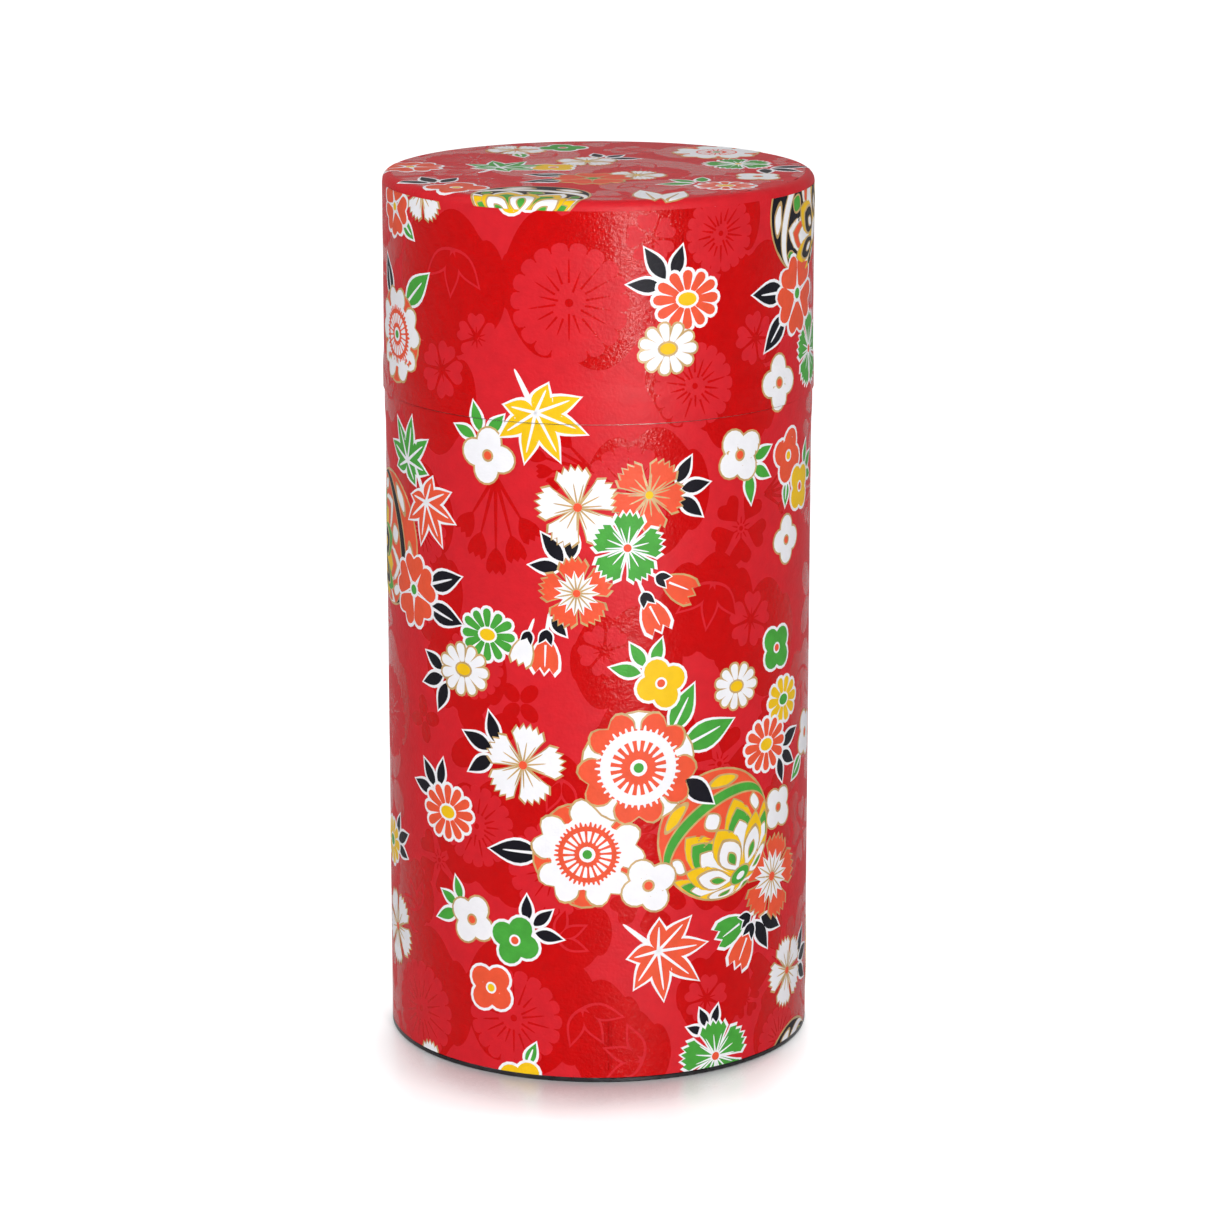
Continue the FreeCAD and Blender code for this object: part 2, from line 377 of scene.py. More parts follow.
def cut_punch(name, *cuts):
    """A punch of one or more cuts, each a grid of stations along and lanes across, less its hidden cells."""
    whole = bmesh.new()
    mesh = bpy.data.meshes.new(name)
    for place, stations, lanes in cuts:
        cut = bmesh.new()
        along = closing_in(stations)
        spots = [[place(t, s) for s in lanes] for t in along]
        corners = [[cut.verts.new((spot[0], spot[1], 0)) for spot in row] for row in spots]
        for i in range(len(along) - 1):
            for j in range(len(lanes) - 1):
                ring = [(i, j), (i + 1, j), (i + 1, j + 1), (i, j + 1)]
                if any(spots[a][b][2] for a, b in ring):
                    cut.faces.new([corners[a][b] for a, b in ring])
        bmesh.ops.remove_doubles(cut, verts=cut.verts, dist=WELD)
        bmesh.ops.dissolve_degenerate(cut, edges=cut.edges, dist=SLIVER)
        bmesh.ops.delete(cut, geom=[v for v in cut.verts if not v.link_faces], context="VERTS")
        under = bmesh.ops.extrude_face_region(cut, geom=cut.faces[:], use_keep_orig=True)["geom"]
        for vert in under:
            if isinstance(vert, bmesh.types.BMVert):
                vert.co.z = -1
        bmesh.ops.recalc_face_normals(cut, faces=cut.faces)
        cut.to_mesh(mesh)
        cut.free()
        whole.from_mesh(mesh)
    whole.to_mesh(mesh)
    whole.free()
    return bpy.data.objects.new(name, mesh)


def shaped(half_width, tip=None):
    """Places on a shape from its half width along its length and the reach of its tip across it."""
    return lambda t, s: (t * (1 + (tip(s) - 1) * t ** 3 if tip else 1), s * half_width(t), True)


def round_width(t):
    return math.sqrt(max(0, t * (1 - t)))


def blunt_width(t):
    taper = 0.26 + 0.24 * min(1, t / 0.7)
    return taper * math.sqrt(1 - portion(t, 0.72, 1) ** 2.4) * portion(t, 0, 0.06) ** 0.5


def heart_width(t):
    return 0.5 * math.sin(math.pi / 2 * portion(t, 0, 0.8)) ** 1.2


def heart_tip(s):
    """Two round lobes with a notch between them."""
    from_lobe = abs(s) / 0.5 - 1
    if from_lobe < 0:
        return 1 - 0.15 * (-from_lobe) ** 1.5
    return 0.7 + 0.3 * math.sqrt(max(0, 1 - from_lobe ** 2))


def frill_width(t):
    return 0.5 * portion(t, 0, 0.82) ** 0.85


def frill_tip(s):
    return 1 - 0.13 * abs((s * 2.5 + 0.5) % 1 - 0.5) * 2 - 0.16 * s * s


def bell_width(t):
    return 0.5 * math.sin(math.pi / 2 * min(1, t / 0.7)) ** 0.8


def bell_tip(s):
    return 1 - 0.16 * abs((s * 1.5 + 0.5) % 1 - 0.5) * 2


def blade_width(t):
    return 0.5 * math.sin(math.pi * t ** 0.8) ** 1.1


def stroke_width(t):
    return 0.5 * math.sqrt(1 - t ** 8) * (1 - 0.45 * t)


def field_width(t):
    """Broad blossom with a scalloped edge."""
    return round_width(t) * (0.74 + 0.26 * abs(math.cos(3.5 * math.acos(1 - 2 * t))) ** 0.7)


def on_ball(down, turn):
    """A spot on a thread ball, so far down from its pole and so far round it, as it is drawn flat."""
    out = math.sin(down) * math.cos(turn)
    x = math.cos(down) * math.sin(BALL_TILT) + out * math.cos(BALL_TILT)
    y = math.sin(down) * math.sin(turn)
    seen = math.cos(down) * math.cos(BALL_TILT) - out * math.sin(BALL_TILT) > 0
    rim = 1 if seen else math.hypot(x, y)
    return x / rim / 2, y / rim / 2, seen


def ball_petals(shift, width):
    """Petals about the pole of a thread ball. The width gives how far down and round each place is."""
    def petal(k):
        middle = 2 * math.pi * (k + shift) / BALL_PETALS

        def place(t, s):
            down, half_turn = width(t)
            return on_ball(math.radians(down), middle + s * half_turn * math.pi / BALL_PETALS)
        return place, 11, across(8)
    return [petal(k) for k in range(BALL_PETALS)]


def lotus(tip):
    return lambda t: (tip * t, 1 - t ** 4)


def seed(low, high, half_turn):
    return lambda t: (low + (high - low) * t, half_turn * math.sin(math.pi * t) ** 0.8)


def band_round(low, high):
    return lambda t, s: on_ball(math.radians(low + (high - low) * t), math.pi * s)


plain_cuts = {
    "round": (shaped(round_width), 8, across(4)),
    "blunt": (shaped(blunt_width), 8, across(4)),
    "heart": (shaped(heart_width, heart_tip), 8, across_round(10)),
    "frill": (shaped(frill_width, frill_tip), 8, across(10)),
    "bell": (shaped(bell_width, bell_tip), 8, across(6)),
    "blade": (shaped(blade_width), 12, across(3)),
    "stroke": (shaped(stroke_width), 10, across(2)),
    "tick": (shaped(stroke_width), 4, across(2)),
    "field": (shaped(field_width), 36, across(2)),
    "field_on_swell": (shaped(field_width), 36, across(36)),
    "ball": (shaped(round_width), 24, across(12)),
    "ball_band": (band_round(82, 92), 3, across(64)),
    "ball_band_edge": (band_round(80, 94), 4, across(64)),
    "ball_eye": (band_round(0, 11), 3, across(24)),
    "ball_eye_edge": (band_round(0, 13), 3, across(24)),
    "ball_eye_dot": (band_round(0, 5), 2, across(16)),
}
petal_rounds = {
    "far": (0.5, seed(97, 113, 0.5), seed(94, 117, 0.66)),
    "diamonds": (0, seed(62, 78, 0.27), seed(59, 80, 0.34)),
    "outer": (0.5, lotus(77), lotus(79)),
    "inlay": (0.5, lotus(67), lotus(69)),
    "core": (0.5, lotus(55), lotus(57)),
    "middle": (0, lotus(59), lotus(61)),
    "inner": (0, seed(9, 46, 0.82), seed(7, 49, 0.94)),
    "seeds": (0, seed(19, 33, 0.28), seed(17, 35, 0.4)),
}
punch_set = [cut_punch(name, cut) for name, cut in plain_cuts.items()]
for name, (shift, petal, edge) in petal_rounds.items():
    punch_set.append(cut_punch("ball_" + name, *ball_petals(shift, petal)))
    punch_set.append(cut_punch(f"ball_{name}_edge", *ball_petals(shift, edge)))
punch_names = sorted(punch.name for punch in punch_set)
punches = bpy.data.collections.new("punches")
for punch in punch_set:
    punches.objects.link(punch)


# Motifs: the flowers, leaves and thread balls of the pattern, each a rule for placing punches. Sizes and
# places are in millimetres along the sheet and up it, and turns are in degrees.
EDGES = {"white": 0.52, "gold": 0.36}
TICKS = 20
LEAVES = 6.5
BALLS = 8.5
FLOWERS = 9.5
OVER = FLOWERS + 3
FOREMOST = FLOWERS + 6
HAND_SEED = 5
sheet = []
hand = random.Random(HAND_SEED)


def toward(at, turn, reach):
    angle = math.radians(turn)
    return at[0] + reach * math.cos(angle), at[1] + reach * math.sin(angle)


def stamp(ink, punch, at, turn, length, width, layer):
    sheet.append((ink, punch, at, turn, length, width, layer))


def dot(ink, at, width, layer, tall=1.0):
    punch = "ball" if width > 6 else "round"
    stamp(ink, punch, (at[0] - width / 2, at[1]), 0, width, width * tall, layer)


def outlined(ink, line, punch, at, turn, length, width, layer, edge=None):
    """A shape in one ink on a slightly larger one in the ink of its outline, both cut by hand."""
    edge = edge or EDGES[line]
    turn += hand.uniform(-2.5, 2.5)
    length *= hand.uniform(0.96, 1.03)
    stamp(line, punch, toward(at, turn, -edge), turn, length + 2 * edge, width + 2 * edge, layer)
    stamp(ink, punch, at, turn, length, width, layer + 1)


def leaf(at, turn, length, ink, line="white", vein=True, layer=LEAVES, plump=0.44):
    outlined(ink, line, "blade", at, turn, length, length * plump, layer)
    if vein:
        stamp(line, "stroke", toward(at, turn, length * 0.02), turn, length * 0.72, 0.6, layer + 2)


def spray(at, turn, length, ink, spread=50, layer=LEAVES):
    """Three small leaves that come from one point, but stay clear of each other."""
    for side in (-1, 1, 0):
        way = turn + side * spread
        size = length * hand.uniform(0.9, 1.15)
        leaf(toward(at, way, 1.7), way, size, ink, vein=False, layer=layer, plump=0.4)


def around(count, turn, squash=1.0):
    """Ways out from a flower's middle, with the share of its radius that each has if it is drawn tilted."""
    ways = []
    for k in range(count):
        angle = math.radians(turn + 360 * k / count)
        x, y = math.cos(angle), squash * math.sin(angle)
        ways.append((math.degrees(math.atan2(y, x)), math.hypot(x, y)))
    return ways


def ring(ink, punch, at, count, turn, start, length, width, layer, line=None):
    """One punch all round a middle, each starting so far out from it, with an outline where one is named."""
    for way, _ in around(count, turn):
        root = toward(at, way, start)
        if line:
            outlined(ink, line, punch, root, way, length, width, layer)
        else:
            stamp(ink, punch, root, way, length, width, layer)


def daisy(at, radius, petal, line, eye, turn=0, count=12, layer=FLOWERS, squash=0.86):
    edge = EDGES[line]
    width = 2 * math.pi * radius * 0.66 / count - edge * 0.9
    for way, share in around(count, turn, squash):
        root = toward(at, way, radius * share * 0.26)
        outlined(petal, line, "blunt", root, way, radius * share * 0.74 - edge, width, layer)
    dot(line, at, radius * 0.66, layer + 2, squash * 0.85)
    dot(eye, at, radius * 0.52, layer + 3, squash * 0.8)


def clover(at, radius, petal, line, eye, turn=45, layer=FLOWERS):
    """Small flower of four round petals."""
    ring(petal, "round", at, 4, turn, 0, radius - EDGES[line], radius * 0.86, layer, line)
    dot(line if petal == "white" else "white", at, radius * 0.42, layer + 2)
    dot(eye, at, radius * 0.28, layer + 3)


def cherry(at, radius, petal, line, eye, turn=90, layer=FLOWERS):
    ring(petal, "heart", at, 5, turn, 0.8, radius - 0.8 - EDGES[line], radius * 0.88, layer, line)
    dot(line, at, radius * 0.42, layer + 2)
    dot(eye, at, radius * 0.26, layer + 3)


def pink(at, radius, petal, line, eye, turn=90, heart=None, layer=FLOWERS, rays="gold"):
    """Flower of five fringed petals, with fine rays from its heart."""
    ring(petal, "frill", at, 5, turn, 0, radius - EDGES[line], radius * 0.74, layer, line)
    if heart:
        ring(heart, "blade", at, 15, turn, 0, radius * 0.6, radius * 0.2, layer + 2)
    ring(rays, "tick", at, 15, turn, radius * 0.1, radius * 0.46, 0.34, layer + 3)
    dot(eye, at, radius * 0.2, layer + 4)


def maple(at, radius, ink, turn=90, layer=FLOWERS, stem=True):
    lobes = {0: 1.0, 42: 0.97, -42: 0.97, 84: 0.84, -84: 0.84, 128: 0.58, -128: 0.58}
    if stem:
        stamp("white", "stroke", at, turn + 180, radius * 0.85, 1.2, layer)
    for lean, reach in lobes.items():
        outlined(ink, "white", "blade", at, turn + lean, radius * reach, radius * 0.34, layer)
    for lean, reach in lobes.items():
        stamp("white", "stroke", at, turn + lean, radius * reach * 0.78, 0.6, layer + 2)


def bud(at, turn, length, ink, line="white", layer=FLOWERS):
    """Half-open pink hanging from a dark cup."""
    stamp("white", "tick", at, turn + 180, length * 0.4, 0.7, layer)
    outlined(ink, line, "bell", toward(at, turn, length * 0.12), turn, length * 0.88, length * 0.6, layer)
    stamp("white", "stroke", toward(at, turn, length * 0.34), turn + 4, length * 0.5, 0.4, layer + 2)
    for side in (-24, 24):
        outlined("black", "white", "blade", at, turn + side, length * 0.36, length * 0.16, layer + 3, 0.3)


def great_blossom(at, radius, front, back, fringed, turn=90, layer=FLOWERS, share=0.52, ticks=(0.22, 0.43)):
    """Large double blossom: two rounds of five petals, a fringed ring and a ticked centre."""
    length = radius * 0.84 - EDGES["gold"]
    ring(back, "round", at, 5, turn + 36, radius * 0.16, length, radius * 0.92, layer, "gold")
    ring(front, "heart", at, 5, turn, radius * 0.16, length, radius * 0.8, layer + 2, "gold")
    ring(front, "heart", at, 5, turn, 0, length * 0.8, radius * 0.8, layer + 4)
    dot(fringed, at, radius * share * 2, layer + 5)
    for way, _ in around(40, turn):
        fringe = radius * hand.uniform(0.08, 0.14)
        stamp(fringed, "tick", toward(at, way, radius * (share - 0.04)), way, fringe, 0.62, layer + 5)
    dot("vermilion", at, radius * 0.94, layer + 6)
    inner, outer = ticks
    for way, _ in around(TICKS, turn):
        start = toward(at, way, radius * outer)
        stamp("white", "tick", start, way + 180, radius * (outer - inner), 0.8, layer + 7)
    dot("white", at, radius * 0.29, layer + 7)
    dot("green", at, radius * 0.17, layer + 8)


def thread_ball(at, radius, pole, base, band, diamond, outer, inlay, core, middle, petal, seeds):
    """Temari seen from one side: a band and rounds of thread petals about its pole, all edged in gold."""
    rounds = [{"band": band, "far": outer, "diamonds": diamond, "outer": outer}, {"inlay": inlay},
              {"core": core}, {"middle": middle}, {"inner": petal}, {"seeds": seeds, "eye": seeds}]
    wide = radius * 2
    dot("gold", at, wide + EDGES["gold"] * 2, BALLS)
    dot(base, at, wide, BALLS + 1)
    layer = BALLS + 2
    for threads in rounds:
        for punch, ink in threads.items():
            stamp("gold", f"ball_{punch}_edge", at, pole, wide, wide, layer)
            stamp(ink, "ball_" + punch, at, pole, wide, wide, layer + 1)
        layer += 2
    stamp("white", "ball_eye_dot", at, pole, wide, wide, layer)


# Ground flowers: the sheet is first printed all over in two reds, a deep glossy one and a light one, as
# large chrysanthemums, cherry blossoms, leaves and hanging sprays. They show only as tone on tone.
GROUND_PITCH = 15
GROUND_STRAY = 0.16
GROUND_SIZES = (6, 9)
GROUND_CLEAR = 5
GROUND_SEED = 11
FIELD = 1.5
DEEP = 2.2
LIGHT = 3.5
DRAWN = 5


def deep_field(at, radius, turn=0):
    """Plain deep blossom. It is never turned, so that its strips bend with the wall."""
    stamp("ground", "field", (at[0] - radius, at[1]), 0, radius * 2, radius * 2, FIELD)


def chrysanthemum(at, radius, turn):
    """Light flower in a deep field, with fine deep rays."""
    deep_field(toward(at, turn * 3 + 50, radius * 0.4), radius * 1.45)
    dot("light", at, radius * 1.7, LIGHT)
    ring("light", "blunt", at, 18, turn, radius * 0.6, radius * 0.4, radius * 0.29, LIGHT)
    for way, _ in around(18, turn + 10):
        start = hand.uniform(0.18, 0.34)
        ray = radius * hand.uniform(0.28, 0.5)
        stamp("ground", "tick", toward(at, way, radius * start), way, ray, 0.4, DRAWN)
    dot("ground", at, radius * 0.14, DRAWN)


def deep_cherry(at, radius, turn):
    ring("ground", "heart", at, 5, turn, radius * 0.24, radius * 0.76, radius * 0.8, DEEP)
    ring("ground", "tick", at, 10, turn, radius * 0.14, radius * 0.2, 0.3, DRAWN)
    dot("ground", at, radius * 0.14, DRAWN)


def light_cherry(at, radius, turn):
    """Light blossom on a deep field, with fine deep stamens."""
    ring("light", "heart", at, 5, turn, radius * 0.12, radius * 0.88, radius * 0.84, LIGHT)
    ring("ground", "tick", at, 10, turn, radius * 0.12, radius * 0.34, 0.3, DRAWN)


def deep_clover(at, radius, turn):
    ring("ground", "round", at, 4, turn, radius * 0.1, radius * 0.9, radius * 0.62, DEEP)


def hanging_spray(at, radius, turn):
    root = toward(at, turn, -radius * 0.75)
    for side in (-34, -16, 0, 16, 34):
        stem = radius * (1.1 - abs(side) / 90)
        stamp("ground", "stroke", root, turn + side, stem + 1, 0.8, DEEP)
        tip = toward(root, turn + side, stem)
        stamp("ground", "bell", tip, turn + side, radius * 0.42, radius * 0.34, DEEP)


def drawn_leaves(at, radius, turn):
    """Deep field with leaves drawn on it in light lines."""
    deep_field(toward(at, turn, radius * 0.5), radius * 1.1)
    for side in (-46, 0, 46):
        way = turn + side
        stamp("light", "blade", at, way, radius, radius * 0.42, LIGHT)
        stamp("ground", "blade", toward(at, way, 0.8), way, radius - 1.6, radius * 0.42 - 0.9, DRAWN)


def ground_flowers(width, height, seed, placed):
    """Prints the ground flowers that have a place, and fills the rest of a sheet on a loose grid."""
    for kind, at, radius, turn in placed:
        kind(at, radius, turn)
    chance = random.Random(seed)
    columns = round(width / GROUND_PITCH)
    rows = round(height / GROUND_PITCH)
    kinds = [chrysanthemum, deep_cherry, drawn_leaves, deep_clover, hanging_spray]
    for i in range(columns):
        for j in range(rows):
            drop = 0.5 if i % 2 else 0
            x = (i + 0.5 + chance.uniform(-GROUND_STRAY, GROUND_STRAY)) * width / columns - width / 2
            y = (j + 0.25 + drop + chance.uniform(-GROUND_STRAY, GROUND_STRAY)) * height / rows
            kind = kinds[chance.randrange(len(kinds))]
            size = chance.uniform(*GROUND_SIZES)
            turn = chance.uniform(0, 360)
            if all(math.dist((x, y), at) > radius + GROUND_CLEAR for _, at, radius, _ in placed):
                kind((x, y), size, turn)


# Wall pattern: one repeat of the sheet, half way round the caddy, measured from the middle of the front and
# from the foot. The other half is dropped by half its height. Flowers have a place, radius, colours and turn,
# leaves a place, turn and length, and thread balls the way to their pole and their colours from the base on.
REPEAT_WIDTH = math.pi * body_radius / MM
REPEAT_HEIGHT = 160
PALE = ("white", "gold", "vermilion")
SUNNY = ("white", "gold", "yellow")
BRIGHT = ("vermilion", "white", "yellow")
FRESH = ("green", "white", "vermilion")
GOLDEN = ("yellow", "white", "vermilion")

wall_ground = [
    (chrysanthemum, (-5, 140), 10.4, 0),
    (chrysanthemum, (22, 151), 6.8, 20),
    (chrysanthemum, (17, 125), 7.6, 0),
    (deep_field, (-29, 142), 13, 0),
    (drawn_leaves, (-27, 148), 9, -95),
    (deep_field, (-33, 122), 11, 0),
    (light_cherry, (-30, 126.5), 5, 70),
    (light_cherry, (-22, 133), 4.2, 20),
    (deep_field, (31, 138), 11, 0),
    (light_cherry, (30, 132), 4.6, 100),
    (deep_field, (12, 152), 8, 0),
    (light_cherry, (9, 151), 4.4, 30),
    (deep_field, (27, 121), 9, 0),
    (hanging_spray, (-18.5, 100.4), 11.5, -90),
    (deep_cherry, (27, 98.7), 6.4, 54),
    (drawn_leaves, (21, 90), 9, -100),
    (deep_field, (32, 78), 11, 0),
    (light_cherry, (29.5, 82), 5, 10),
    (deep_field, (5, 77), 10, 0),
    (light_cherry, (1, 79), 4.6, 50),
    (deep_clover, (-14, 69), 4.4, 45),
    (deep_clover, (-36, 62.6), 4.4, 10),
    (deep_cherry, (-32, 37.4), 6, 70),
    (chrysanthemum, (-15.5, 11), 9, 0),
    (chrysanthemum, (-38, 8), 9, 8),
    (drawn_leaves, (-3, 14), 8, -60),
    (deep_field, (22, 15), 8, 0),
    (light_cherry, (20, 14), 4.4, 80),
    (deep_cherry, (29, 12), 3.6, 90),
]
ground_flowers(REPEAT_WIDTH, REPEAT_HEIGHT, GROUND_SEED, wall_ground)

cherry((-45, 153), 5.6, *BRIGHT, 70)
leaf((-41.5, 151), -35, 5, "green")
pink((-35, 157), 6, *PALE, -50)
great_blossom((-44.5, 130.5), 8.6, "white", "vermilion", "vermilion")
leaf((-47, 136), 110, 8.5, "black")
leaf((-40.5, 136.5), 40, 9.5, "green")
daisy((15.5, 140.2), 6.6, *BRIGHT)
spray((12.5, 142.5), 125, 6, "black")
daisy((12, 131.8), 5.6, *SUNNY, count=11, layer=OVER)
thread_ball((45, 152.5), 11, 330, "black", "white", "green", "white", "vermilion", "white", "yellow",
            "black", "white")
cherry((43, 138), 7.4, "vermilion", "white", "green", 54, layer=FOREMOST)
leaf((38, 139), 178, 9, "black")
leaf((38.5, 135), 225, 8.5, "black")
pink((50, 127), 7.2, *FRESH, 160, rays="white")
clover((36.5, 123.2), 5.2, *PALE, 0)
maple((-10.8, 120.8), 9.8, "yellow", -62)
clover((-20, 112.5), 5.4, *PALE, 80)
spray((-21, 115), 105, 5, "green", 55)
maple((-41, 108.5), 8.4, "green", 75, stem=False)
maple((-34.8, 102.2), 8.4, "vermilion", -60, layer=OVER)
thread_ball((-50, 93), 12, 200, "vermilion", "black", "white", "white", "vermilion", "yellow", "green",
            "black", "yellow")
cherry((-39, 85.6), 7, "vermilion", "white", "green", 18, layer=FOREMOST)
leaf((-34, 87.5), 18, 8.5, "black")
leaf((-34, 83.5), -14, 8.5, "black")
pink((-3.6, 104.4), 7.8, *PALE, 100)
pink((8.8, 106.4), 7, "vermilion", "gold", "yellow", 60, layer=OVER)
spray((13, 106.8), 10, 5.5, "black", 50)
pink((5, 97.2), 7, *FRESH, 84, layer=FOREMOST, rays="white")
pink((-3.8, 89.2), 6.8, "vermilion", "gold", "vermilion", 96, heart="white")
spray((-5, 93.5), 130, 5.5, "black", 45)
bud((10, 92), -28, 8, "vermilion", line="gold")
bud((7.8, 89.2), -66, 8, "vermilion")
daisy((-20.3, 80.6), 6, "green", "white", "yellow")
daisy((-25.5, 73.6), 5.8, *SUNNY, count=11, layer=OVER)
spray((-29, 72), 200, 6, "black", 48)
bud((-12.2, 82), -110, 6.5, "white", line="gold", layer=OVER)
bud((-9, 82.5), -96, 8, "vermilion")
leaf((-8.2, 84.5), -50, 4, "black", vein=False)
clover((26.6, 111.8), 5.4, *PALE, 35)
spray((28.5, 110), -30, 5.5, "green", 52)
clover((40.5, 109.5), 5.4, *BRIGHT, 70)
clover((45.6, 103), 5.1, *GOLDEN, 40, layer=OVER)
leaf((40, 105), 262, 4.5, "green")
spray((47.5, 105), 30, 4.5, "green", 40)
clover((40, 94.4), 4.7, *PALE, 0)
clover((37, 75.4), 4.9, *FRESH)
daisy((26.2, 70.4), 5.2, *SUNNY, count=11)
daisy((39.5, 65.4), 5.5, "yellow", "white", "green", count=10)
daisy((34, 58.3), 6.3, *BRIGHT, layer=OVER)
spray((37.5, 56.5), -28, 5.5, "black", 45)
clover((38, 45.8), 4.6, *PALE)
clover((11, 72.8), 5.2, *GOLDEN, 20)
spray((9, 74.5), 120, 5, "green", 48)
leaf((13, 64), 62, 9, "green")
leaf((15, 61), 20, 11, "green")
great_blossom((7, 57.8), 10.6, "vermilion", "white", "white", 126, layer=FLOWERS + 5, share=0.64,
              ticks=(0.28, 0.5))
great_blossom((-2, 42.2), 9.9, "white", "vermilion", "vermilion", 84)
leaf((-10.5, 42), 180, 9.5, "black")
thread_ball((22.5, 44), 11.8, 300, "vermilion", "green", "white", "yellow", "green", "white", "yellow",
            "white", "green")
leaf((15.5, 55), -42, 8, "black", vein=False, layer=FOREMOST)
clover((8.8, 36.2), 5.5, *PALE, 28, layer=FOREMOST)
pink((36, 33.4), 8.4, "vermilion", "gold", "vermilion", 75, heart="white", layer=FOREMOST)
bud((30, 27.5), 200, 8.5, "green")
bud((30.5, 26), 240, 8.5, "vermilion", layer=OVER)
leaf((31.5, 26), -62, 6.5, "black", vein=False)
leaf((33, 26.5), -28, 6.5, "black", vein=False)
maple((10.6, 24), 9.8, "vermilion", -40)
clover((-24, 28), 5.2, *PALE, 60)
spray((-26, 29.5), 155, 4.8, "green", 48)
clover((-15.2, 25.5), 5.2, *FRESH, 65, layer=OVER)
spray((-13, 27.5), 40, 5, "black", 48)
clover((-20, 16), 5.2, *BRIGHT, 50)
pink((-48.5, 20.5), 7.4, *PALE, 50)
daisy((-52, 36), 5.6, "yellow", "white", "green", count=10)
spray((-49, 36.5), 25, 5, "black", 40)
pink((42, 14), 7, *PALE, 110)
spray((46.5, 14), 10, 6, "black", 45)
pink((-13.5, 57.8), 7.8, *PALE, 80)
spray((-18, 59.5), 160, 6.5, "black", 52)
daisy((-29.6, 46.8), 6.5, *BRIGHT)
spray((-32, 49.5), 125, 5.5, "black", 45)
pink((22, 2.8), 7.6, *FRESH, 96, rays="white")
spray((21, 7), 115, 4, "black", 40)
clover((-14, -1), 5, *GOLDEN, 60)
leaf((-13, 2.5), 70, 4.5, "green")
clover((51, 56.5), 5, *PALE, 30)
leaf((48, 53), 215, 6, "green")
wall_sheet = list(sheet)
sheet.clear()


# Disc pattern: the round on the cap is another cut of the same sheet, measured across from the middle of
# the top and back from it. Shapes of one layer that overlap lie a hair apart, so that no two films share
# a plane on the flat top.
DISC_CUT = 90
HAIRS = 12
HAIR = 0.6 / HAIRS

ground_flowers(DISC_CUT, DISC_CUT, GROUND_SEED + 1, [])
sheet[:] = [(ink, punch, (at[0], at[1] - DISC_CUT / 2), *rest) for ink, punch, at, *rest in sheet]

thread_ball((-11.5, -31), 10, 250, "black", "white", "green", "white", "yellow", "green", "yellow",
            "white", "green")
cherry((-1, -11.5), 6.8, "vermilion", "gold", "green", layer=OVER)
pink((6.8, -7.4), 5.6, *SUNNY, 70)
leaf((-5, -8), 165, 8, "black")
leaf((-5.5, -13), 200, 8, "black")
maple((-17.5, 2), 8.6, "green", 60)
clover((-8, 2.4), 4.8, *GOLDEN, 40)
pink((-2, 10), 5.8, *SUNNY, 20)
spray((0.5, 13.5), 50, 5, "black")
pink((25, 6.5), 6.6, "green", "white", "yellow", 30, rays="white")
spray((29.5, 2), -40, 5.5, "black")
great_blossom((21.5, 21.5), 8, "white", "vermilion", "white", 20)
pink((-15, 24.5), 6, *PALE, 50)
clover((-6.5, 27.5), 4.8, *FRESH, 10)
leaf((-14.5, 20), -80, 5, "green")
clover((-24.5, -22), 5.8, *BRIGHT, 80)
spray((-28, -17.5), 110, 6, "black", 46)
cherry((-33.5, 3), 6, *BRIGHT, 30)
leaf((9.5, -36), 100, 11, "white", line="gold")
leaf((11.5, -36), 72, 10, "white", line="gold")
daisy((22, -20), 5.6, *BRIGHT)
spray((18, -17), 140, 5.5, "green")
clover((28, -9), 4.6, *PALE)
disc_sheet = []
taken = []
for ink, punch, at, turn, length, width, layer in sheet:
    middle = at if punch.startswith("ball_") else toward(at, turn, length / 2)
    reach = max(length, width) / 2
    near = []
    for spot, far, own_layer, hair in taken:
        if own_layer == layer and math.dist(spot, middle) < far + reach:
            near.append(hair)
    hair = min(range(HAIRS), key=near.count)
    taken.append((middle, reach, layer, hair))
    disc_sheet.append((ink, punch, at, turn, length, width, layer + hair * HAIR))
sheet.clear()


# Printing: each stencil's punches are set out flat, pressed through at their places, trimmed to the edges
# of the paper and carried round the wall or over the cap with it.
BEND_CUTS = 2
FILM_SLIVER = 1e-7
TRIM_SNAP = 1e-8


def whole_shapes(tree, mark):
    """True on every point of a shape that has the mark on any of its points."""
    shape = put(tree, "GeometryNodeInputMeshIsland").outputs["Island Index"]
    found = put(tree, "GeometryNodeAccumulateField", mark, shape).outputs["Total"]
    return maths(tree, "GREATER_THAN", found, 0.5)


